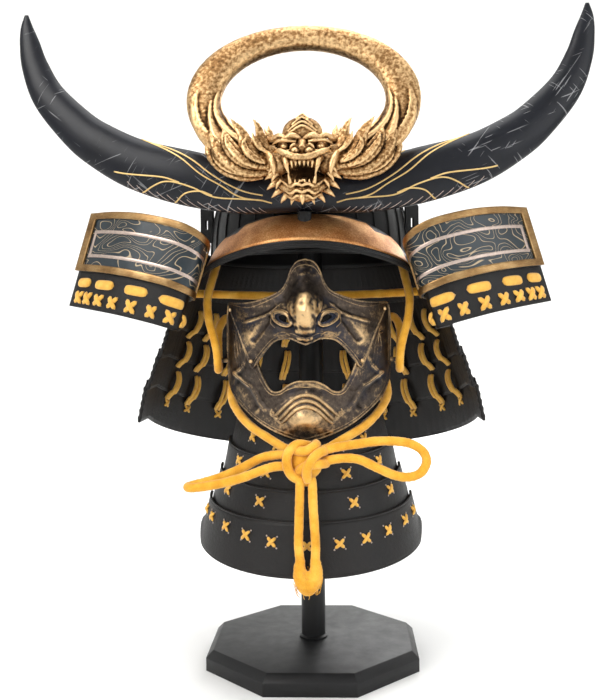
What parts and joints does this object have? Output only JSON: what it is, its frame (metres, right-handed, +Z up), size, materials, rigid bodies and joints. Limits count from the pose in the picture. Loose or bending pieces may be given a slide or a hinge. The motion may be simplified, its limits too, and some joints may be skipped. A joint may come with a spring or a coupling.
{
  "type": "samurai helmet with face mask on its display stand",
  "caption": "Samurai helmet with horns, ring and dragon crest, laced neck guard, face mask, throat guard and chin cord, on an octagonal display stand.",
  "frame": {"origin": "on the table, under the middle of the stand's plinth", "axes": "+Z up; the front of the helmet faces -Y; +X is the wearer's left"},
  "size_m": [0.5168, 0.3391, 0.624],
  "materials": {
    "stand": "satin black lacquer",
    "black_iron": "matte black with rubbed edges",
    "horn": "near black with a soft sheen and gold inlay lines",
    "gold": "antique gold with brown patina",
    "copper": "speckled copper",
    "bronze": "dark gunmetal with rubbed bronze edges",
    "panel": "dark teal with pale contour lines",
    "lame": "matte black leather with wear",
    "cord": "soft matte yellow"
  },
  "bodies": {
    "root": {"stand_plinth": "stand", "stand_post": "stand", "bowl": "black_iron", "visor": "copper", "visor_bead": "black_iron", "side_lug_right": "black_iron", "side_lug_left": "black_iron", "horn_right": "horn", "horn_left": "horn", "crest_bracket": "black_iron", "crest_ring": "gold", "dragon_face": "gold", "crest_wing_right": "gold", "crest_wing_left": "gold", "crest_socket": "black_iron", "neck_lame_1": "lame", "neck_lame_2": "lame", "neck_lame_3": "lame", "neck_lame_4": "lame", "neck_lame_5": "lame", "turnback_panel_right": "panel", "turnback_panel_left": "panel", "turnback_strip_right": "lame", "turnback_strip_left": "lame", "turnback_border_right": "gold", "turnback_border_left": "gold", "mask_jaw": "bronze", "mask_nose": "bronze", "rivet_cheek_right": "bronze", "rivet_cheek_left": "bronze", "rivet_mouth_right": "bronze", "rivet_mouth_left": "bronze", "cheek_peg_right": "bronze", "cheek_peg_left": "bronze", "throat_lame_1": "lame", "throat_lame_2": "lame", "throat_lame_3": "lame", "throat_lame_4": "lame", "chin_cord_right": "cord", "chin_cord_left": "cord", "bow_loop_right": "cord", "bow_loop_left": "cord", "cord_end_right": "cord", "cord_end_left": "cord", "brow_cord": "cord", "cord_knot": "cord", "cord_tuft": "cord"}
  },
  "joints": []
}
